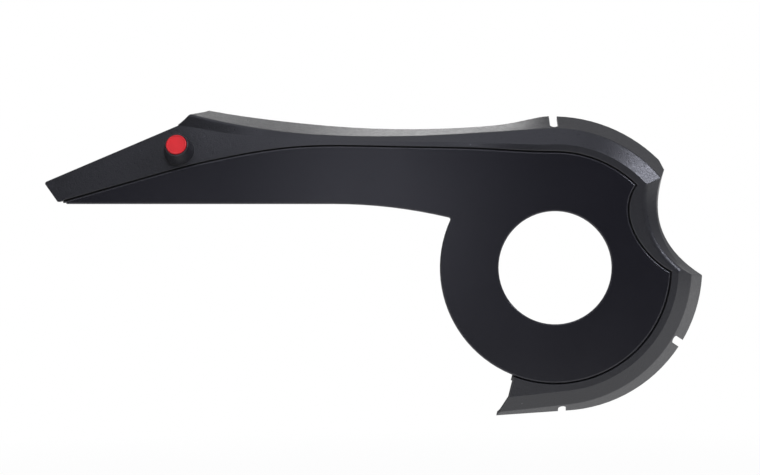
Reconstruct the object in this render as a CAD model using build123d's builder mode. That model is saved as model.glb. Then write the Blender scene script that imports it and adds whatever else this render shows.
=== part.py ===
"""Bicycle chain guard: a textured rim, a smooth panel set into it and a cap in its boss.

Sizes are in millimetres. The origin is on the crank axis at the panel's front
face. X runs forward along the bicycle, Y inboard and Z up, so the outside of
the guard faces -Y.
"""

from math import atan2, cos, degrees, hypot, radians, sin, tan
import os

from build123d import *

os.makedirs("parts", exist_ok=True)

# One wall for the rim and the panel
wall = 2.5

# Cover panel
opening_radius = 40.0
panel_radius = 81.5
panel_edge_bevel = 0.6
panel_drop = 36.95
panel_tail_length = 79.2
panel_tip_height = 1.7
panel_tip_setback = 1.4
lower_bend_start = -157.0
inner_corner_angle = 154.5
inner_corner_radius = 1.5

# Seam between panel and rim, and the ledge behind it
seam_gap = 1.0
ledge_width = 9.0
ledge_thickness = 2.0
rail_ledge_lap = 1.5
ring_ledge_lap = 3.0

# Rim section at the ring
land_width = 5.0
upper_bevel = 11.5
upper_flare = 9.3
lower_bevel = 10.0
lower_flare = 9.8
crest_depth = 8.0
rim_depth = 26.0

# Scallop at three levels: angle of its top corner, how deep it cuts, angle of its low corner
scallop_middle_angle = 20.0
scallop_land = (42.4, 15.4, 0.4)
scallop_crest = (40.1, 19.4, -2.9)
scallop_back = (41.8, 20.5, -2.9)

# Arch in the back edge behind the scallop, for the chain: angles of its ends and depth at its middle
scallop_arch_angles = (45.3, -3.3)
scallop_wall_depth = 11.4

# Scallop in the panel: corner angles, how deep it cuts at two angles, and the centre of its curve
scallop_panel_corners = (45.7, -2.3)
scallop_panel_cuts = ((15.8, 38.6), (20.2, 18.3))
scallop_centre_reach = 25.1
scallop_centre_angle = 22.6

# Lower lip and the sloping back edge of the lower skirt
lip_angle = 6.4
lip_end_angle = -110.4
lip_end_tilt = 14.0
lip_end_draft = 24.0
lower_back_slope = 5.2

# Rail sections: place as a share of the rail's length, then seam height over the ring's seam,
# wing rise, crease depth, band rise, crest depth and flare
rail_length = 267.4
rail_stations = (
    (0.901, -5.9, 20.7, 9.6, 7.7, 11.0, 6.9),
    (0.808, -1.0, 12.7, 7.6, 6.0, 9.6, 7.8),
    (0.675, 3.5, 6.2, 5.6, 3.6, 8.6, 8.0),
    (0.516, 4.1, 3.7, 4.2, 3.5, 8.1, 6.6),
    (0.357, 3.2, 4.0, 3.0, 4.5, 8.0, 5.4),
    (0.198, 2.3, 4.2, 1.5, 7.3, 8.0, 5.0),
)
# The same for the sections where the rail turns into the ring
blend_stations = (
    (0.112, 1.6, 4.3, 0.7, 9.3, 8.0, 6.2),
    (0.052, 0.9, 4.4, 0.2, 11.0, 8.0, 8.5),
)

# Tail wing behind the rail
wing_seam_drop = 12.1
wing_seam_depth = 0.8
wing_rise = 31.2
wing_slope = 15.5
wing_tilt = 21.0
tail_foot_setback = 5.0
tail_foot_drop = 0.4
tail_corner_reach = 10.6
tail_corner_rise = 14.0
tail_corner_radius = 1.5
return_depth = 6.0

# Fin at the start of the rail: its section, then its swept end from the top of the wing
fin_band_rise = 10.0
fin_crest_setback = 1.0
fin_flare = 4.6
fin_end_points = ((-0.5, 0.3), (3.4, 3.4), (9.4, 10.2))
fin_sweep = 41.0

# Edges of the rim
seam_edge_bevel = 0.4
crest_radius = 2.0
scallop_edge_radius = 5.0

# Bracket slots in the skirt
slot_width = 5.6
slot_end_depth = 10.0
slot_angles = (90.0, -30.7, -86.7)

# Boss and cap, placed along and up the wing from the seam
boss_along = 4.55
boss_up = 12.8
boss_lip = 1.1
boss_spread = 2.4
boss_wall = 2.4
boss_height = 12.0
boss_edge_radius = 0.4
cap_radius = 7.2
cap_clearance = 0.3
cap_seat_depth = 3.6
cap_stand = 0.9
cap_wall = 1.3
cap_border = 0.8
cap_border_height = 0.3
cap_edge_bevel = 0.35
web_thickness = 3.0
screw_hole_radius = 2.75

# Pegs that hold the panel to the ledge
peg_radius = 1.5
peg_clearance = 0.3
peg_head_radius = 2.8
peg_head_top_radius = 2.15
peg_head_height = 1.2
tail_peg_setback = 32.6
ring_peg_angles = (63.0, -14.0, -47.0, -80.0)


def polar(radius, angle):
    """Point at a radius and an angle in degrees from +X towards +Z."""
    return (radius * cos(radians(angle)), radius * sin(radians(angle)))


def depth_plane(depth):
    """Plane parallel to the panel at a depth behind its front face."""
    return Plane.XZ.offset(-depth)


def at_depth(point, depth):
    """Point of a front view (x, z) placed at a depth."""
    return (point[0], depth, point[1])


# Radii that follow from the sizes above
half_gap = seam_gap / 2
land_radius = panel_radius + seam_gap + land_width
upper_crest = land_radius + upper_bevel
upper_back = upper_crest + upper_flare
lower_crest = land_radius + lower_bevel
lower_back = lower_crest + lower_flare
boss_head_radius = cap_radius + cap_clearance + boss_lip
boss_base_radius = boss_head_radius + boss_spread
spigot_radius = boss_head_radius - boss_wall

# A length that reaches past the ring on every side
reach = upper_back + rim_depth

# Seam of the rail and the tail, as heights over the crank axis
seam_top = panel_radius + half_gap
wing_start = -rail_length
wing_seam_height = seam_top - wing_seam_drop
panel_lower_edge = seam_top - panel_drop
panel_tip = (wing_start - panel_tail_length, panel_lower_edge + panel_tip_height)
tail_seam_slope = atan2(wing_seam_height - half_gap - panel_tip[1], panel_tail_length)
rail_seam = [(-rail_length * row[0], seam_top + row[1]) for row in rail_stations]
tail_top = (wing_start, wing_seam_height + wing_rise)
tail_foot = (panel_tip[0] - tail_foot_setback, panel_tip[1] - tail_foot_drop)
tail_corner = (tail_foot[0] - tail_corner_reach, tail_foot[1] + tail_corner_rise)
tail_length = wing_start - tail_corner[0]

# Plane of the tail wing: local x along the seam, local y up the wing, normal outwards
seam_direction = Vector(cos(radians(wing_slope)), 0, sin(radians(wing_slope)))
wing_normal = Vector(
    -sin(radians(wing_slope)) * sin(radians(wing_tilt)),
    -cos(radians(wing_tilt)),
    cos(radians(wing_slope)) * sin(radians(wing_tilt)),
)
wing_plane = Plane(
    origin=(wing_start, wing_seam_depth, wing_seam_height),
    x_dir=seam_direction,
    z_dir=wing_normal,
)
wing_crease_depth = wing_seam_depth + wing_rise * cos(radians(wing_slope)) * tan(radians(wing_tilt))


def rail_folds(seam, seam_depth, rise, crease_depth, band, crest, flare):
    """Fold line of a rail section as (depth, height), from below the seam to the back edge."""
    slope = (crease_depth - seam_depth) / rise
    return [
        (seam_depth - slope * rail_ledge_lap, seam - rail_ledge_lap),
        (crease_depth, seam + rise),
        (crest, seam + rise + band),
        (rim_depth, seam + rise + band + flare),
    ]


def inner_folds(folds):
    """The fold line one wall further in, ending level with the back edge."""
    normals = []
    for (y0, z0), (y1, z1) in zip(folds, folds[1:]):
        length = hypot(y1 - y0, z1 - z0)
        normals.append(((z1 - z0) / length, (y0 - y1) / length))
    first = normals[0]
    inner = [(folds[0][0] + wall * first[0], folds[0][1] + wall * first[1])]
    for (y, z), a, b in zip(folds[1:-1], normals, normals[1:]):
        mitre = wall / (1 + a[0] * b[0] + a[1] * b[1])
        inner.append((y + mitre * (a[0] + b[0]), z + mitre * (a[1] + b[1])))
    inner.append((folds[-1][0], folds[-1][1] + wall / normals[-1][1]))
    return inner


# Fold lines from the tail wing to the top of the ring, each with its place along X
sections = [
    (
        wing_start,
        rail_folds(
            wing_seam_height, wing_seam_depth, wing_rise, wing_crease_depth,
            fin_band_rise, wing_crease_depth + fin_crest_setback, fin_flare,
        ),
    )
]
for share, seam, rise, crease_depth, band, crest, flare in rail_stations + blend_stations:
    folds = rail_folds(seam_top + seam, wing_seam_depth * share, rise, crease_depth, band, crest, flare)
    sections.append((-rail_length * share, folds))
top_folds = rail_folds(
    seam_top, 0.0, half_gap + land_width, 0.0,
    upper_bevel, crest_depth, upper_flare,
)
sections.append((0.0, top_folds))

# Setback of the inner side of the wall at the ring, for the land, the crest and the back edge
ring_inner = inner_folds(top_folds)
land_inset = land_radius - ring_inner[1][1]
crest_inset = upper_crest - ring_inner[2][1]
back_inset = upper_back - ring_inner[3][1]
crest_inner_depth = ring_inner[2][0]


def ring_outline(upper, lower, scallop, inset):
    """Outline of the ring at one depth, clockwise from its top to the lip and back inside."""
    top_angle, cut, low_angle = scallop
    upper = upper - inset
    lower = lower - inset
    middle = polar(upper - cut, scallop_middle_angle)
    lip_start = polar(lower, lip_angle - 90)
    lip_far = (lip_start[0] - reach, lip_start[1] - reach * tan(radians(lip_angle)))
    with BuildLine() as outline:
        ThreePointArc((0, upper), polar(upper, (90 + top_angle) / 2), polar(upper, top_angle))
        ThreePointArc(polar(upper, top_angle), middle, polar(lower, low_angle))
        ThreePointArc(polar(lower, low_angle), polar(lower, (low_angle + lip_angle - 90) / 2), lip_start)
        Polyline(lip_start, lip_far, (-reach, 0), (0, 0), (0, upper))
    return outline.line.edges()


# Scallop of the panel: centre of its curve, and the points of its edge between the corners
scallop_centre = Vector(*polar(panel_radius + scallop_centre_reach, scallop_centre_angle))
scallop_points = [Vector(*polar(panel_radius - cut, angle)) for cut, angle in scallop_panel_cuts]
scallop_deepest = scallop_points[1]
scallop_radius = (scallop_centre - scallop_deepest).length


def grown_corner(angle, grow):
    """Corner of the scallop in the panel, moved out square to both of its edges."""
    corner = Vector(*polar(panel_radius, angle))
    out = corner.normalized()
    into = (scallop_centre - corner).normalized()
    return corner + (out + into) * (grow / (1 + out.dot(into)))


def panel_outline(grow):
    """Outline of the panel moved out by an amount, clockwise from the tip of its tail."""
    radius = panel_radius + grow
    lower = panel_lower_edge - grow
    tip = (panel_tip[0] - grow, panel_tip[1] + grow / cos(tail_seam_slope))
    seam_start = (wing_start, wing_seam_height - half_gap + grow / cos(tail_seam_slope))
    along_tail = (seam_start[0] - tip[0], seam_start[1] - tip[1])
    seam_points = [(x, height - half_gap + grow) for x, height in rail_seam]
    top_angle, low_angle = scallop_panel_corners
    top_corner = grown_corner(top_angle, grow)
    low_corner = grown_corner(low_angle, grow)
    middle = [point + (scallop_centre - point).normalized() * grow for point in scallop_points]
    inner_corner = polar(radius, inner_corner_angle)
    bend = (lower_bend_start, lower)
    with BuildLine() as outline:
        Line(tip, seam_start)
        Spline(seam_start, *seam_points, (0, radius), tangents=[along_tail, (1, 0)])
        ThreePointArc((0, radius), polar(radius, (90 + top_angle) / 2), top_corner)
        Spline(top_corner, *middle, low_corner)
        ThreePointArc(low_corner, polar(radius, (low_angle + inner_corner_angle - 360) / 2), inner_corner)
        TangentArc(bend, inner_corner, tangent=(1, 0))
        Polyline(bend, (tip[0] + panel_tip_setback, lower), tip)
    return outline.line.edges()


def tail_seam(x):
    """Height of the seam along the tail."""
    return wing_seam_height + (x - wing_start) * tan(tail_seam_slope)


# Opening inside the ring's ledge
with BuildSketch() as ledge_opening:
    Circle(panel_radius - ledge_width)
    with Locations(scallop_centre):
        Circle(scallop_radius + ledge_width, mode=Mode.SUBTRACT)

# Places of the pegs, along the seam and inside it
peg_inset = (ledge_width + seam_gap) / 2
tail_peg_x = wing_start - tail_peg_setback
peg_points = [(tail_peg_x, tail_seam(tail_peg_x) - half_gap - peg_inset)]
for x, height in rail_seam[::2]:
    peg_points.append((x, height - half_gap - peg_inset))
for angle in ring_peg_angles:
    peg_points.append(polar(panel_radius - peg_inset, angle))
peg_points.append(polar(scallop_deepest.length - peg_inset, scallop_panel_cuts[1][1]))

# Angles and places that follow from the sizes above
wing_section_tilt = degrees(atan2(wing_crease_depth - wing_seam_depth, wing_rise))
boss_taper = degrees(atan2(boss_spread, boss_height))
peg_head_taper = degrees(atan2(peg_head_radius - peg_head_top_radius, peg_head_height))
tail_ledge_x = tail_foot[0] + half_gap
fin_direction = Vector(sin(radians(fin_sweep)), cos(radians(fin_sweep)), 0)
fin_foot, fin_middle, fin_top = [(tail_top[0] + x, tail_top[1] + z) for x, z in fin_end_points]


def tail_outline(inset):
    """Outline of the tail in front view; an inset moves its top and its left edge inwards."""
    corner = Vector(*tail_corner)
    foot = Vector(*tail_foot)
    top = Vector(*tail_top)
    low = Vector(wing_start, wing_seam_height - rail_ledge_lap)
    along_top = (top - corner).normalized()
    along_left = (foot - corner).normalized()
    along_low = (low - foot).normalized()
    below_top = Vector(along_top.Y, -along_top.X)
    inside_left = Vector(-along_left.Y, along_left.X)
    moved_corner = corner + (below_top + inside_left) * (inset / (1 + below_top.dot(inside_left)))
    moved_foot = foot + along_low * (inset / inside_left.dot(along_low))
    moved_top = top - Vector(0, inset / along_top.X)
    with BuildLine() as outline:
        Polyline(moved_top, moved_corner, moved_foot, low, close=True)
        free_corners = outline.vertices().group_by(Axis.X)[0] + outline.vertices().group_by(Axis.X)[1]
        fillet(free_corners, radius=tail_corner_radius)
    return outline.line.edges()


# Lean and draft of the cut at the end of the lip
lip_end = polar(panel_radius, lip_end_angle)
lip_lean = tan(radians(lip_end_tilt))
lip_draft = Vector(-sin(radians(lip_end_draft)), cos(radians(lip_end_draft)), 0)
scallop_low_height = polar(lower_back, scallop_back[2])[1]

# Arch in the back edge of the scallop's wall, as (depth, height)
arch_top = (rim_depth, polar(upper_back, scallop_arch_angles[0])[1])
arch_foot = (rim_depth, polar(lower_back, scallop_arch_angles[1])[1])
arch_middle = (scallop_wall_depth, (arch_top[1] + arch_foot[1]) / 2)

# Points on the edges that are rounded or bevelled
upper_angle = (90 + scallop_crest[0]) / 2
lower_angle = (scallop_crest[2] + lip_angle - 90) / 2
middle_row = len(rail_stations) // 2
rail_x, rail_fold = sections[middle_row + 1]
tail_x = (tail_peg_x + wing_start) / 2
lip_crest = (lip_end[0], lip_end[0] * tan(radians(lip_angle)) - lower_crest)
upper_crest_points = [
    (rail_x, *rail_fold[2]),
    at_depth(polar(upper_crest, upper_angle), crest_depth),
]
lower_crest_points = [
    at_depth(polar(lower_crest, lower_angle), crest_depth),
    at_depth(lip_crest, crest_depth),
]
tail_seam_point = (tail_x, wing_seam_depth, tail_seam(tail_x) + half_gap)
rail_seam_point = (rail_x, wing_seam_depth, rail_seam[middle_row][1] + half_gap)
ring_seam_points = [
    at_depth(polar(panel_radius + seam_gap, upper_angle), 0),
    (scallop_deepest.X + seam_gap, 0, scallop_deepest.Y + half_gap),
    at_depth(polar(panel_radius + seam_gap, lower_angle), 0),
]
scallop_land_point = at_depth(polar(land_radius - scallop_land[1], scallop_middle_angle), 0)
boss_head_point = wing_plane.from_local_coords((boss_along, boss_up + boss_head_radius, boss_height))


def edge_at(builder, point):
    """The edge of a part that passes closest to a point."""
    return builder.edges().sort_by_distance(point)[0]


# Place of the panel with the seam round it, cut out of the ring, the rail and the tail
inboard = (0, 1, 0)
with BuildSketch(depth_plane(-wall)) as panel_pocket:
    make_face(panel_outline(seam_gap))


# Ring of the rim: three outlines ruled together, hollowed by the same three one wall further in
with BuildPart() as ring:
    with BuildSketch(depth_plane(0)) as land_level:
        make_face(ring_outline(land_radius, land_radius, scallop_land, 0))
    with BuildSketch(depth_plane(crest_depth)) as crest_level:
        make_face(ring_outline(upper_crest, lower_crest, scallop_crest, 0))
    with BuildSketch(depth_plane(rim_depth)) as back_level:
        make_face(ring_outline(upper_back, lower_back, scallop_back, 0))
    loft(ruled=True)
    with BuildSketch(depth_plane(wall)) as land_inner:
        make_face(ring_outline(land_radius, land_radius, scallop_land, land_inset))
    with BuildSketch(depth_plane(crest_inner_depth)) as crest_inner:
        make_face(ring_outline(upper_crest, lower_crest, scallop_crest, crest_inset))
    with BuildSketch(depth_plane(rim_depth)) as back_inner:
        make_face(ring_outline(upper_back, lower_back, scallop_back, back_inset))
    loft(ruled=True, mode=Mode.SUBTRACT)
    extrude(panel_pocket.sketch, amount=2 * wall, dir=inboard, mode=Mode.SUBTRACT)
    chamfer([edge_at(ring, point) for point in ring_seam_points], length=seam_edge_bevel)
    with BuildSketch(depth_plane(wall)) as ring_ledge:
        make_face(panel_outline(seam_gap + ring_ledge_lap))
        add(ledge_opening.sketch, mode=Mode.SUBTRACT)
        with BuildLine():
            Polyline(
                (0, reach), (reach, reach), (reach, -reach), (-reach, -reach),
                (-reach, lip_end[1] / 2), (0, lip_end[1] / 2), close=True,
            )
        make_face(mode=Mode.INTERSECT)
    extrude(amount=-ledge_thickness)
    with BuildSketch(depth_plane(0)) as lip_cut:
        with BuildLine():
            Polyline(
                (lip_end[0] - lip_lean * lip_end[1], 0),
                (lip_end[0] - lip_lean * reach, lip_end[1] - reach),
                (-2 * reach, lip_end[1] - reach),
                (-2 * reach, 0),
                close=True,
            )
        make_face()
    extrude(amount=2 * rim_depth, dir=lip_draft, both=True, mode=Mode.SUBTRACT)
    with BuildSketch(Plane.XY.offset(scallop_low_height)) as lower_back_edge:
        with BuildLine():
            Polyline(
                (lower_back, rim_depth),
                (lower_back - 2 * reach, rim_depth - 2 * reach * tan(radians(lower_back_slope))),
                (lower_back - 2 * reach, reach),
                (lower_back, reach),
                close=True,
            )
        make_face()
    extrude(amount=-reach, mode=Mode.SUBTRACT)
    with BuildSketch(Plane.YZ.offset(scallop_centre.X / 2)) as scallop_arch:
        with BuildLine():
            ThreePointArc(arch_top, arch_middle, arch_foot)
            Line(arch_foot, arch_top)
        make_face()
    extrude(amount=reach, mode=Mode.SUBTRACT)

# Rail: a loft through the folded sections
with BuildPart() as rail:
    for x, folds in sections:
        with BuildSketch(Plane.YZ.offset(x)) as section:
            with BuildLine():
                Polyline(*folds, *reversed(inner_folds(folds)), close=True)
            make_face()
    loft()
    with BuildSketch(depth_plane(wing_crease_depth)) as fin_end:
        with BuildLine():
            ThreePointArc(fin_foot, fin_middle, fin_top)
            Polyline(
                fin_top, (fin_top[0], reach), (fin_foot[0] - reach, reach),
                (fin_foot[0] - reach, fin_foot[1]), fin_foot,
            )
        make_face()
    extrude(amount=2 * rim_depth, dir=fin_direction, mode=Mode.SUBTRACT)
    extrude(panel_pocket.sketch, amount=2 * wall, dir=inboard, mode=Mode.SUBTRACT)
    chamfer(edge_at(rail, rail_seam_point), length=seam_edge_bevel)

# Tail: the wing carried on along the seam and cut to its outline
wing_front = sections[0][1][:2]
wing_inset = polar(wall, wing_section_tilt)
wing_back = [(y + wing_inset[0], z - wing_inset[1]) for y, z in wing_front]
with BuildPart() as tail:
    with BuildSketch(Plane.YZ.offset(wing_start)) as wing_end:
        with BuildLine():
            Polyline(*wing_front, *reversed(wing_back), close=True)
        make_face()
    extrude(amount=2 * tail_length, dir=seam_direction * -1)
    with BuildSketch(depth_plane(-wall)) as tail_plan:
        make_face(tail_outline(0))
    extrude(amount=-2 * rim_depth, mode=Mode.INTERSECT)
    extrude(panel_pocket.sketch, amount=2 * wall, dir=inboard, mode=Mode.SUBTRACT)
    chamfer(edge_at(tail, tail_seam_point), length=seam_edge_bevel)

# Return wall behind the free edges of the tail
with BuildPart() as tail_return:
    with BuildSketch(depth_plane(-wall)) as return_plan:
        make_face(tail_outline(0))
        make_face(tail_outline(wall), mode=Mode.SUBTRACT)
    extrude(amount=-2 * rim_depth)
    split(bisect_by=wing_plane, keep=Keep.BOTTOM)
    split(bisect_by=wing_plane.offset(-wall - return_depth), keep=Keep.TOP)

# Rim shell: ring, rail and tail as one moulding, with the ledge, the boss and the slots
with BuildPart() as rim_shell:
    add(ring.part)
    add(rail.part)
    add(tail.part)
    add(tail_return.part)
    with BuildSketch(depth_plane(wall)) as rail_ledge:
        make_face(panel_outline(half_gap + rail_ledge_lap))
        with BuildLine():
            Polyline(
                (tail_ledge_x, reach),
                (tail_ledge_x, panel_lower_edge),
                *[(x, height - half_gap - ledge_width) for x, height in rail_seam],
                (0, panel_radius - ledge_width),
                (0, reach),
                close=True,
            )
        make_face(mode=Mode.INTERSECT)
    extrude(amount=-ledge_thickness)
    with BuildSketch(wing_plane.offset(-wall / 2)) as boss_base:
        with Locations((boss_along, boss_up)):
            Circle(boss_base_radius)
    extrude(amount=boss_height + wall / 2, taper=boss_taper)
    with BuildSketch(wing_plane.offset(boss_height)) as cap_seat:
        with Locations((boss_along, boss_up)):
            Circle(cap_radius + cap_clearance)
    extrude(amount=-cap_seat_depth, mode=Mode.SUBTRACT)
    with BuildSketch(wing_plane.offset(boss_height)) as screw_hole:
        with Locations((boss_along, boss_up)):
            Circle(screw_hole_radius)
    extrude(amount=-2 * boss_height, mode=Mode.SUBTRACT)
    with BuildSketch(wing_plane.offset(boss_height - cap_seat_depth - web_thickness)) as spigot_bore:
        with Locations((boss_along, boss_up)):
            Circle(spigot_radius)
    extrude(amount=-2 * boss_height, mode=Mode.SUBTRACT)
    for angle in slot_angles:
        out = Vector(cos(radians(angle)), 0, sin(radians(angle)))
        with BuildSketch(Plane(origin=out * land_radius, x_dir=(0, 1, 0), z_dir=out)) as slot:
            with Locations((slot_end_depth + slot_width / 2, 0)):
                Circle(slot_width / 2)
                Rectangle(rim_depth, slot_width, align=(Align.MIN, Align.CENTER))
        extrude(amount=2 * (upper_back - land_radius), mode=Mode.SUBTRACT)
    with BuildSketch(depth_plane(wall)) as peg_holes:
        with Locations(*peg_points):
            Circle(peg_radius + peg_clearance)
    extrude(amount=-2 * ledge_thickness, mode=Mode.SUBTRACT)
    fillet(edge_at(rim_shell, scallop_land_point), radius=scallop_edge_radius)
    fillet([edge_at(rim_shell, point) for point in upper_crest_points], radius=crest_radius)
    fillet([edge_at(rim_shell, point) for point in lower_crest_points], radius=crest_radius)
    fillet(edge_at(rim_shell, boss_head_point), radius=boss_edge_radius)
rim_shell.part.label = "rim_shell"

# Cover panel: a flat plate with bevelled front edges and its formed-over pegs
with BuildPart() as cover_panel:
    with BuildSketch(depth_plane(0)) as plate:
        make_face(panel_outline(0))
        inner_corner = Vector(*polar(panel_radius, inner_corner_angle))
        fillet(plate.vertices().sort_by_distance(inner_corner)[0], radius=inner_corner_radius)
        Circle(opening_radius, mode=Mode.SUBTRACT)
    extrude(amount=-wall)
    chamfer(cover_panel.edges().group_by(Axis.Y)[0], length=panel_edge_bevel)
    with BuildSketch(depth_plane(wall)) as pegs:
        with Locations(*peg_points):
            Circle(peg_radius)
    extrude(amount=-ledge_thickness - peg_head_height / 2)
    with BuildSketch(depth_plane(wall + ledge_thickness)) as peg_heads:
        with Locations(*peg_points):
            Circle(peg_head_radius)
    extrude(amount=-peg_head_height, taper=peg_head_taper)
cover_panel.part.label = "cover_panel"

# Fixing cap: a hollow button with a thin raised border
with BuildPart() as fixing_cap:
    with BuildSketch(wing_plane.offset(boss_height - cap_seat_depth)) as cap_body:
        with Locations((boss_along, boss_up)):
            Circle(cap_radius)
    extrude(amount=cap_seat_depth + cap_stand)
    with BuildSketch(wing_plane.offset(boss_height - cap_seat_depth)) as cap_hollow:
        with Locations((boss_along, boss_up)):
            Circle(cap_radius - cap_wall)
    extrude(amount=cap_seat_depth + cap_stand - cap_border_height - cap_wall, mode=Mode.SUBTRACT)
    with BuildSketch(wing_plane.offset(boss_height + cap_stand)) as cap_face:
        with Locations((boss_along, boss_up)):
            Circle(cap_radius - cap_border)
    extrude(amount=-cap_border_height, mode=Mode.SUBTRACT)
    chamfer(fixing_cap.edges().sort_by(SortBy.LENGTH)[-2:], length=cap_edge_bevel)
fixing_cap.part.label = "fixing_cap"

export_step(rim_shell.part, "parts/rim_shell.step")
export_step(cover_panel.part, "parts/cover_panel.step")
export_step(fixing_cap.part, "parts/fixing_cap.step")
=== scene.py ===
"""Finishes and studio stage for a moulded bicycle chain guard, laid out as a Blender add-on.

Lengths are in metres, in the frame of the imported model: X runs forward along
the bicycle, Y inboard and Z up, so the outside of the guard faces -Y.
"""

from math import pi
from typing import NamedTuple

import bpy
import numpy as np
from bpy.props import FloatProperty, FloatVectorProperty, PointerProperty
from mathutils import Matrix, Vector


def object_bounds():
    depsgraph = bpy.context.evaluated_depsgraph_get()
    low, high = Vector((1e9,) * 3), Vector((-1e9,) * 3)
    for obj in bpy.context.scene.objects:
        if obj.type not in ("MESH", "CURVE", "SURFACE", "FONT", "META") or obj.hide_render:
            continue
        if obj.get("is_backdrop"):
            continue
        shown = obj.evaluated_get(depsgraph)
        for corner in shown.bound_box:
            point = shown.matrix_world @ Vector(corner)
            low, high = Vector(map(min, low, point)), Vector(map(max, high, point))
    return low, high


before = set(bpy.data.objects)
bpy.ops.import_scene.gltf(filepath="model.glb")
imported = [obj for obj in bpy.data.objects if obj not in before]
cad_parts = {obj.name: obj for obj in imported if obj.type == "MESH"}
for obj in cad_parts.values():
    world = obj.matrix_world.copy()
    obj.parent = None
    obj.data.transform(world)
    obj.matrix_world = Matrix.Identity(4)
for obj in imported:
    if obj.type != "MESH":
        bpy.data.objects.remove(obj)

bl_info = {
    "name": "Chain guard",
    "version": (1, 0, 0),
    "blender": (4, 5, 0),
    "location": "3D View > Sidebar > Chain guard",
    "description": "Gives a moulded chain guard its finishes and sets up a studio round it",
    "category": "Object",
}

WHITE = (1.0, 1.0, 1.0)

# Noise: the middle of its range, and how strong its finer octaves are
NOISE_MIDDLE = 0.5
NOISE_ROUGHNESS = 0.6

# Noise fields: size of a cell and octaves of detail
RIM_DRIFT = (0.06, 3.0)
PANEL_FLOW = (0.05, 3.0)
PANEL_HAZE = (0.0012, 3.0)
CAP_DRIFT = (0.008, 2.0)
CAP_HAZE = (0.0006, 2.0)
GRAIN_DETAIL = 2.0

# Size of the rim's patches, in grains, and their share in its height
PATCH_GRAINS = 3
PATCH_SHARE = 0.5

# Share of the slow drift in the rim's shade; the grain has the rest
DRIFT_SHARE = 0.3

# Darkest and lightest shade, as parts of a plastic's colour
RIM_SHADES = (0.5, 1.5)
PANEL_SHADES = (0.85, 1.15)
CAP_SHADES = (0.88, 1.1)

# How widely each noise field spreads the roughness
RIM_PATCH_SPREAD = 0.2
RIM_GRAIN_SPREAD = 0.3
PANEL_SPREAD = 0.05
CAP_SPREAD = 0.08

# Refractive index of the grained and of the smooth plastics
RIM_IOR = 1.55
SMOOTH_IOR = 1.5

# Edges: samples that round them, and the ramp from a turned normal to an even one
EDGE_SAMPLES = 6
EDGE_STOPS = ((0.84, 0.0), (0.99, 1.0))

# Grooves: samples that find them, the ramp from shut in to open, the shade painted in them and how much
# rougher they are
GROOVE_SAMPLES = 8
GROOVE_STOPS = ((0.35, 0.0), (0.85, 1.0))
GROOVE_PAINTED_SHADE = (0.001, 0.001, 0.001)
GROOVE_ROUGHER = 0.5

# Floor: reach to the sides and to the back, reach to the front, and steps of its mesh
FLOOR_REACH = 6.0
FLOOR_FRONT = 1.2
FLOOR_STEPS = 8

# Share of plain white in the floor, by the distance as a part of its reach to the front
FLOOR_WHITE = ((0.3, 0.86), (1.0, 1.0))

# What gloss shows of the room, from the camera's side at 0 to straight behind the guard at 1
DARK_UNTIL = 0.45
ROOM_BEHIND = ((0.58, 0.35), (0.90, 0.40), (0.97, 1.0))

# Width of the camera's sensor in millimetres
SENSOR_WIDTH = 36.0


class Dust(NamedTuple):
    """Sparse specks: spacing of their cells, their size, share of cells that have one, cover and colour."""

    spacing: float
    size: float
    share: float
    cover: float
    colour: tuple


RIM_DUST = Dust(spacing=0.012, size=0.00035, share=0.2, cover=0.6, colour=(0.30, 0.30, 0.32))
PANEL_DUST = Dust(spacing=0.02, size=0.0004, share=0.18, cover=0.5, colour=(0.30, 0.30, 0.33))


class Lamp(NamedTuple):
    """A flat lamp: its place, its width and height, its radiance, and whether it is cool or plain white."""

    name: str
    place: tuple
    size: tuple
    radiance: float
    cool: bool = True


LAMP_TARGET = (-0.10, 0.0, 0.05)
LAMPS = (
    Lamp("key", (1.10, -0.48, 0.99), (0.30, 0.30), 30.0),
    Lamp("fill", (-0.14, -1.70, 0.06), (0.17, 0.24), 2.8),
    Lamp("low fill", (-0.42, -1.70, -0.10), (0.14, 0.22), 1.8),
    Lamp("front", (0.0, -1.20, 1.10), (1.1, 0.18), 3.7),
    Lamp("overhead", (-0.20, -0.35, 1.55), (1.4, 1.5), 0.7),
    Lamp("back", (-0.16, 1.26, 0.98), (0.36, 0.42), 3.0, cool=False),
)


class Value:
    """A number that changes over a surface: a socket whose arithmetic adds Math nodes."""

    def __init__(self, tree, socket):
        self.tree = tree
        self.socket = socket

    def _math(self, operation, left, right):
        return self.tree.value("ShaderNodeMath", {"operation": operation}, {0: left, 1: right})

    def __add__(self, other):
        return self._math("ADD", self, other)

    def __radd__(self, other):
        return self._math("ADD", other, self)

    def __sub__(self, other):
        return self._math("SUBTRACT", self, other)

    def __rsub__(self, other):
        return self._math("SUBTRACT", other, self)

    def __mul__(self, other):
        return self._math("MULTIPLY", self, other)

    def __rmul__(self, other):
        return self._math("MULTIPLY", other, self)

    def __gt__(self, other):
        return self._math("GREATER_THAN", self, other)

    def __lt__(self, other):
        return self._math("LESS_THAN", self, other)


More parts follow.
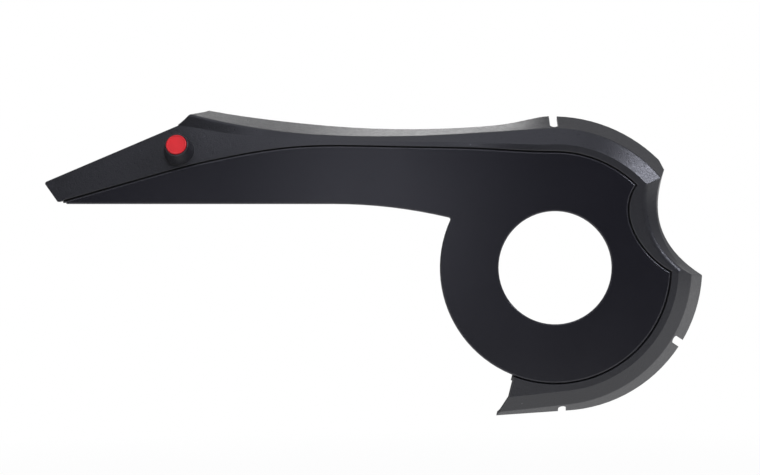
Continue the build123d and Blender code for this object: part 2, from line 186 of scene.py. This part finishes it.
class Tree:
    """The node tree of a material or of the world."""

    def __init__(self, data):
        data.use_nodes = True
        self.nodes = data.node_tree.nodes
        self.links = data.node_tree.links
        self.nodes.clear()

    def node(self, kind, settings=None, inputs=None):
        """Adds a node: its settings first, a ramp's stops among them, then its sockets."""
        made = self.nodes.new(kind)
        for name, setting in (settings or {}).items():
            if name == "stops":
                ramp = made.color_ramp.elements
                while len(ramp) < len(setting):
                    ramp.new(1.0)
                for element, (position, level) in zip(ramp, setting):
                    element.position = position
                    element.color = (level, level, level, 1.0)
            else:
                setattr(made, name, setting)
        for name, given in (inputs or {}).items():
            socket = made.inputs[name]
            if isinstance(given, Value):
                self.links.new(given.socket, socket)
            elif isinstance(given, bpy.types.NodeSocket):
                self.links.new(given, socket)
            else:
                socket.default_value = given
        return made

    def value(self, kind, settings=None, inputs=None, output=0):
        """Adds a node and wraps one of its outputs for arithmetic."""
        return Value(self, self.node(kind, settings, inputs).outputs[output])

    def object_place(self):
        """Place on the object, in metres."""
        return self.node("ShaderNodeTexCoord").outputs["Object"]

    def noise(self, place, size, detail):
        """Soft noise from 0 to 1 with cells of about a size in metres."""
        inputs = {"Vector": place, "Scale": 1 / size, "Detail": detail, "Roughness": NOISE_ROUGHNESS}
        return self.value("ShaderNodeTexNoise", {"noise_dimensions": "3D"}, inputs)

    def stops(self, factor, *stops):
        """A value passed through a ramp with stops of position and level."""
        return self.value("ShaderNodeValToRGB", {"stops": stops}, {"Fac": factor})

    def ray(self, *kinds):
        """1 for a ray of one of the kinds that Light Path names, 0 for any other."""
        rays = self.node("ShaderNodeLightPath").outputs
        first, *others = [Value(self, rays[kind]) for kind in kinds]
        return sum(others, first) > 0

    def mix(self, factor, first, second):
        """A colour between two, by a factor."""
        made = self.node("ShaderNodeMix", {"data_type": "RGBA"}, {"Factor": factor})
        for name, colour in (("A", first), ("B", second)):
            socket = next(s for s in made.inputs if s.name == name and s.type == "RGBA")
            if isinstance(colour, bpy.types.NodeSocket):
                self.links.new(colour, socket)
            else:
                socket.default_value = (*colour, 1.0)
        return next(s for s in made.outputs if s.type == "RGBA")

    def shades(self, factor, colour, parts):
        """A colour between the darkest and the lightest shade of a plastic, given as parts of its colour."""
        darkest, lightest = [[min(channel * part, 1.0) for channel in colour] for part in parts]
        return self.mix(factor, darkest, lightest)

    def rounded(self, radius):
        """Normal of a surface whose sharp edges are rounded by a radius in metres."""
        return self.node("ShaderNodeBevel", {"samples": EDGE_SAMPLES}, {"Radius": radius}).outputs["Normal"]

    def edges(self, rounded):
        """From 0 on an even surface to 1 along its sharp edges: how far the rounded normal turns away."""
        even = self.node("ShaderNodeNewGeometry").outputs["Normal"]
        both = {0: rounded, 1: even}
        turn = self.value("ShaderNodeVectorMath", {"operation": "DOT_PRODUCT"}, both, "Value")
        return 1 - self.stops(turn, *EDGE_STOPS)

    def shelter(self, reach):
        """From 0 in the open to 1 deep in a groove or an inner corner, looking a reach in metres around."""
        inputs = {"Distance": reach}
        opened = self.value("ShaderNodeAmbientOcclusion", {"samples": GROOVE_SAMPLES}, inputs, "AO")
        return 1 - self.stops(opened, *GROOVE_STOPS)

    def bump(self, height, depth, rounded):
        """Normal of a rounded surface raised by a height from 0 to 1 times a depth in metres."""
        inputs = {"Height": height, "Strength": 1.0, "Distance": depth, "Normal": rounded}
        return self.node("ShaderNodeBump", None, inputs).outputs["Normal"]

    def dusted(self, place, dust, colour):
        """A colour with specks of dust on it: round spots at the points of some cells of a spacing."""
        inputs = {"Vector": place, "Scale": 1 / dust.spacing}
        cells = self.node("ShaderNodeTexVoronoi", {"feature": "F1"}, inputs).outputs
        near = Value(self, cells["Distance"]) < dust.size / dust.spacing
        draw = self.value("ShaderNodeSeparateColor", None, {"Color": cells["Color"]})
        return self.mix(near * (draw < dust.share) * dust.cover, colour, dust.colour)

    def plastic(self, colour, roughness, ior, normal):
        """Ends a material's tree in a plastic."""
        inputs = {"Base Color": colour, "Roughness": roughness, "IOR": ior, "Normal": normal}
        self.surface(self.node("ShaderNodeBsdfPrincipled", None, inputs))

    def surface(self, shader):
        """Ends a material's tree in a shader."""
        self.node("ShaderNodeOutputMaterial", None, {"Surface": shader.outputs[0]})


def around(noise, spread):
    """Noise moved to lie evenly about 0, as wide as a spread."""
    return (noise - NOISE_MIDDLE) * spread


def rim_finish(look):
    """Textured black plastic: moulded grain, slow drift of shade, dust, painted edge highlights, painted
    groove shade.
    """
    material = bpy.data.materials.new("rim_plastic")
    tree = Tree(material)
    place = tree.object_place()
    grain = tree.noise(place, look.grain_size, GRAIN_DETAIL)
    patches = tree.noise(place, look.grain_size * PATCH_GRAINS, GRAIN_DETAIL)
    drift = tree.noise(place, *RIM_DRIFT)
    rounded = tree.rounded(look.edge_radius)
    shelter = tree.shelter(look.groove_reach)
    shade = drift * DRIFT_SHARE + grain * (1 - DRIFT_SHARE)
    body = tree.shades(shade, look.colour, RIM_SHADES)
    # Paler colour along the sharp edges is a painted highlight
    edge_highlighted = tree.mix(tree.edges(rounded), body, look.edge_highlight_colour)
    # Near black painted deep in grooves and inner corners is painted shade
    colour = tree.mix(shelter, tree.dusted(place, RIM_DUST, edge_highlighted), GROOVE_PAINTED_SHADE)
    roughness = look.roughness + around(patches, RIM_PATCH_SPREAD) + around(grain, RIM_GRAIN_SPREAD)
    height = grain * (1 - PATCH_SHARE) + patches * PATCH_SHARE
    normal = tree.bump(height, look.grain_depth, rounded)
    tree.plastic(colour, roughness + shelter * GROOVE_ROUGHER, RIM_IOR, normal)
    return material


def panel_finish(look):
    """Smooth satin black plastic: faint flow of the moulding, very fine haze, painted edge highlights and
    dust.
    """
    material = bpy.data.materials.new("panel_plastic")
    tree = Tree(material)
    place = tree.object_place()
    haze = tree.noise(place, *PANEL_HAZE)
    flow = tree.noise(place, *PANEL_FLOW)
    rounded = tree.rounded(look.edge_radius)
    body = tree.shades(flow, look.colour, PANEL_SHADES)
    # Paler colour along the sharp edges is a painted highlight
    edge_highlighted = tree.mix(tree.edges(rounded), body, look.edge_highlight_colour)
    colour = tree.dusted(place, PANEL_DUST, edge_highlighted)
    roughness = look.roughness + around(flow, PANEL_SPREAD) + around(haze, PANEL_SPREAD)
    tree.plastic(colour, roughness, SMOOTH_IOR, tree.bump(haze, look.haze_depth, rounded))
    return material


def cap_finish(look):
    """Red satin plastic with a fine haze and a slow drift of shade."""
    material = bpy.data.materials.new("cap_plastic")
    tree = Tree(material)
    place = tree.object_place()
    haze = tree.noise(place, *CAP_HAZE)
    colour = tree.shades(tree.noise(place, *CAP_DRIFT), look.colour, CAP_SHADES)
    roughness = look.roughness + around(haze, CAP_SPREAD)
    normal = tree.bump(haze, look.haze_depth, tree.rounded(look.edge_radius))
    tree.plastic(colour, roughness, SMOOTH_IOR, normal)
    return material


def dress(node, material):
    """Gives a carried-over node its finish."""
    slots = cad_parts[node].data.materials
    slots.clear()
    slots.append(material)


class RimLook(bpy.types.PropertyGroup):
    """Finish of the rim."""

    colour: FloatVectorProperty(
        name="Colour", description="Colour of the rim's plastic",
        subtype="COLOR", min=0.0, max=1.0, default=(0.0180, 0.0182, 0.0220),
    )
    roughness: FloatProperty(
        name="Roughness", description="Middle roughness of the grained plastic",
        subtype="FACTOR", min=0.0, max=1.0, default=0.35,
    )
    grain_size: FloatProperty(
        name="Grain size", description="Size of the moulded grain",
        unit="LENGTH", precision=5, default=0.0008,
    )
    grain_depth: FloatProperty(
        name="Grain depth", description="Height of the moulded grain",
        unit="LENGTH", precision=6, default=0.00020,
    )
    edge_radius: FloatProperty(
        name="Edge radius", description="Radius that the mould leaves on the sharp edges",
        unit="LENGTH", precision=5, default=0.0007,
    )
    # Pale colour painted along the sharp edges as a highlight
    edge_highlight_colour: FloatVectorProperty(
        name="Edge colour", description="Colour of the plastic where its edges are rubbed",
        subtype="COLOR", min=0.0, max=1.0, default=(0.075, 0.075, 0.080),
    )
    # Reach within which walls get painted shade in grooves and inner corners
    groove_reach: FloatProperty(
        name="Groove reach", description="How near walls must stand to each other for a dark groove",
        unit="LENGTH", precision=5, default=0.0030,
    )


class PanelLook(bpy.types.PropertyGroup):
    """Finish of the cover panel."""

    colour: FloatVectorProperty(
        name="Colour", description="Colour of the panel's plastic",
        subtype="COLOR", min=0.0, max=1.0, default=(0.0085, 0.0083, 0.0128),
    )
    roughness: FloatProperty(
        name="Roughness", description="Middle roughness of the smooth plastic",
        subtype="FACTOR", min=0.0, max=1.0, default=0.23,
    )
    haze_depth: FloatProperty(
        name="Haze depth", description="Height of the fine unevenness of the surface",
        unit="LENGTH", precision=6, default=0.000008,
    )
    edge_radius: FloatProperty(
        name="Edge radius", description="Radius that the mould leaves on the sharp edges",
        unit="LENGTH", precision=5, default=0.0010,
    )
    # Pale colour painted along the sharp edges as a highlight
    edge_highlight_colour: FloatVectorProperty(
        name="Edge colour", description="Colour of the plastic where its edges are rubbed",
        subtype="COLOR", min=0.0, max=1.0, default=(0.12, 0.12, 0.13),
    )


class CapLook(bpy.types.PropertyGroup):
    """Finish of the cap."""

    colour: FloatVectorProperty(
        name="Colour", description="Colour of the cap's plastic",
        subtype="COLOR", min=0.0, max=1.0, default=(0.78, 0.012, 0.020),
    )
    roughness: FloatProperty(
        name="Roughness", description="Middle roughness of the cap",
        subtype="FACTOR", min=0.0, max=1.0, default=0.36,
    )
    haze_depth: FloatProperty(
        name="Haze depth", description="Height of the fine unevenness of the surface",
        unit="LENGTH", precision=6, default=0.000008,
    )
    edge_radius: FloatProperty(
        name="Edge radius", description="Radius that the mould leaves on the sharp edges",
        unit="LENGTH", precision=5, default=0.0006,
    )


class StageLook(bpy.types.PropertyGroup):
    """Camera, floor and lights."""

    aim: FloatVectorProperty(
        name="Aim", description="Point of the guard at the middle of the picture",
        subtype="XYZ", unit="LENGTH", precision=4, default=(-0.1238, 0.0, 0.0214),
    )
    distance: FloatProperty(
        name="Distance", description="How far the camera stands from the panel",
        unit="LENGTH", default=1.8,
    )
    lens: FloatProperty(
        name="Lens", description="Focal length of the camera in millimetres",
        unit="CAMERA", default=120.65,
    )
    floor_drop: FloatProperty(
        name="Floor drop", description="How far the floor lies below the guard, which its mount holds up",
        unit="LENGTH", default=0.10,
    )
    floor_colour: FloatVectorProperty(
        name="Floor", description="Colour of the floor",
        subtype="COLOR", min=0.0, max=1.0, default=(0.88, 0.88, 0.88),
    )
    lamp_colour: FloatVectorProperty(
        name="Lamps", description="Colour of the lamps, a little cool",
        subtype="COLOR", min=0.0, soft_max=1.0, default=(0.93, 0.95, 1.10),
    )
    room_level: FloatProperty(
        name="Room light", description="Plain light from all round that falls on matt surfaces",
        min=0.0, default=0.55,
    )
    dark_level: FloatProperty(
        name="Dark side", description="What a glossy surface shows of the room on the camera's side",
        min=0.0, default=0.03,
    )


class GUARD_OT_rim(bpy.types.Operator):
    """Give the rim its grained black finish"""

    bl_idname = "chain_guard.rim"
    bl_label = "Rim"

    def execute(self, context):
        dress("rim_shell", rim_finish(context.scene.guard_rim))
        return {"FINISHED"}


class GUARD_OT_panel(bpy.types.Operator):
    """Give the cover panel its smooth black finish"""

    bl_idname = "chain_guard.panel"
    bl_label = "Cover panel"

    def execute(self, context):
        dress("cover_panel", panel_finish(context.scene.guard_panel))
        return {"FINISHED"}


class GUARD_OT_cap(bpy.types.Operator):
    """Give the cap its red finish"""

    bl_idname = "chain_guard.cap"
    bl_label = "Cap"

    def execute(self, context):
        dress("fixing_cap", cap_finish(context.scene.guard_cap))
        return {"FINISHED"}


def floor_mesh(level):
    """Flat floor: x runs evenly over its width and y from its front to its back, and z is the level."""
    across = np.linspace(-FLOOR_REACH, FLOOR_REACH, FLOOR_STEPS + 1)
    inboard = np.linspace(-FLOOR_FRONT, FLOOR_REACH, FLOOR_STEPS + 1)
    x, y = np.meshgrid(across, inboard, indexing="ij")
    points = np.stack([x, y, np.full_like(x, level)], axis=-1).reshape(-1, 3)
    index = np.arange(x.size).reshape(x.shape)
    corners = (index[:-1, :-1], index[1:, :-1], index[1:, 1:], index[:-1, 1:])
    faces = np.stack(corners, axis=-1).reshape(-1, 4)
    mesh = bpy.data.meshes.new("floor")
    mesh.from_pydata(points.tolist(), [], faces.tolist())
    mesh.validate()
    return mesh


def floor_finish(colour):
    """Pale floor that looks white to the camera and to gloss, with a share of its own shading left."""
    material = bpy.data.materials.new("floor_white")
    tree = Tree(material)
    seen = tree.ray("Is Camera Ray", "Is Glossy Ray", "Is Transmission Ray")
    place = {0: tree.object_place()}
    reach = tree.value("ShaderNodeVectorMath", {"operation": "LENGTH"}, place, "Value")
    far = tree.stops(reach * (1 / FLOOR_FRONT), *FLOOR_WHITE)
    matt = tree.node("ShaderNodeBsdfDiffuse", None, {"Color": (*colour, 1.0)})
    white = tree.node("ShaderNodeEmission", None, {"Color": (*WHITE, 1.0), "Strength": 1.0})
    both = {"Fac": seen * far, 1: matt.outputs[0], 2: white.outputs[0]}
    tree.surface(tree.node("ShaderNodeMixShader", None, both))
    return material


def light_room(scene, look):
    """White world behind the guard, dim towards the camera in gloss, and plain for matt surfaces."""
    world = bpy.data.worlds.new("studio")
    scene.world = world
    tree = Tree(world)
    seen = tree.ray("Is Camera Ray", "Is Transmission Ray")
    glossy = tree.ray("Is Glossy Ray")
    direction = tree.node("ShaderNodeTexCoord").outputs["Generated"]
    inboard = tree.value("ShaderNodeSeparateXYZ", None, {0: direction}, "Y")
    # Half of -1 to 1, moved up by a half, runs from 0 to 1
    side = inboard * 0.5 + 0.5
    behind = tree.stops(side, (DARK_UNTIL, look.dark_level), *ROOM_BEHIND)
    level = seen + (1 - seen) * (glossy * behind + (1 - glossy) * look.room_level)
    background = tree.node("ShaderNodeBackground", None, {"Color": (*WHITE, 1.0), "Strength": level})
    tree.node("ShaderNodeOutputWorld", None, {"Surface": background.outputs[0]})


def softbox(scene, lamp, colour):
    """Adds a lamp in a colour, turned to the guard."""
    light = bpy.data.lights.new(lamp.name, "AREA")
    light.shape = "RECTANGLE"
    light.size, light.size_y = lamp.size
    light.energy = lamp.radiance * lamp.size[0] * lamp.size[1] * pi
    light.color = colour
    made = bpy.data.objects.new(lamp.name, light)
    made.location = lamp.place
    aim = Vector(LAMP_TARGET) - Vector(lamp.place)
    made.rotation_euler = aim.to_track_quat("-Z", "Y").to_euler()
    made.visible_camera = False
    scene.collection.objects.link(made)


def set_camera(scene, look):
    """Sets the camera level and square to the panel's front, at a distance from the point it aims at."""
    camera = bpy.data.cameras.new("camera")
    camera.sensor_width = SENSOR_WIDTH
    camera.lens = look.lens
    made = bpy.data.objects.new("camera", camera)
    made.location = Vector(look.aim) - Vector((0.0, look.distance, 0.0))
    made.rotation_euler = (pi / 2, 0.0, 0.0)
    scene.collection.objects.link(made)
    scene.camera = made


class GUARD_OT_stage(bpy.types.Operator):
    """Set up the floor, the lights and the camera"""

    bl_idname = "chain_guard.stage"
    bl_label = "Stage"

    def execute(self, context):
        scene = context.scene
        look = scene.guard_stage
        low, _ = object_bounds()
        floor = bpy.data.objects.new("floor", floor_mesh(low[2] - look.floor_drop))
        floor.data.materials.append(floor_finish(look.floor_colour))
        scene.collection.objects.link(floor)
        floor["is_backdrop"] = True
        light_room(scene, look)
        for lamp in LAMPS:
            softbox(scene, lamp, look.lamp_colour if lamp.cool else WHITE)
        set_camera(scene, look)
        scene.view_settings.view_transform = "Standard"
        return {"FINISHED"}


class GUARD_PT_sidebar(bpy.types.Panel):
    """Chain guard's sizes, colours and steps"""

    bl_idname = "GUARD_PT_sidebar"
    bl_label = "Chain guard"
    bl_space_type = "VIEW_3D"
    bl_region_type = "UI"
    bl_category = "Chain guard"

    def draw(self, context):
        for step, name in STEPS:
            box = self.layout.box()
            box.operator(step.bl_idname)
            group = getattr(context.scene, name)
            for prop in group.__annotations__:
                box.prop(group, prop)


GROUPS = {
    "guard_rim": RimLook,
    "guard_panel": PanelLook,
    "guard_cap": CapLook,
    "guard_stage": StageLook,
}
STEPS = (
    (GUARD_OT_rim, "guard_rim"),
    (GUARD_OT_panel, "guard_panel"),
    (GUARD_OT_cap, "guard_cap"),
    (GUARD_OT_stage, "guard_stage"),
)
CLASSES = (*GROUPS.values(), *(step for step, _ in STEPS), GUARD_PT_sidebar)


def register():
    for cls in CLASSES:
        bpy.utils.register_class(cls)
    for name, group in GROUPS.items():
        setattr(bpy.types.Scene, name, PointerProperty(type=group))


def unregister():
    for name in GROUPS:
        delattr(bpy.types.Scene, name)
    for cls in reversed(CLASSES):
        bpy.utils.unregister_class(cls)


def main():
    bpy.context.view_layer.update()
    register()
    bpy.ops.chain_guard.rim()
    bpy.ops.chain_guard.panel()
    bpy.ops.chain_guard.cap()
    bpy.ops.chain_guard.stage()


if __name__ == "__main__":
    main()
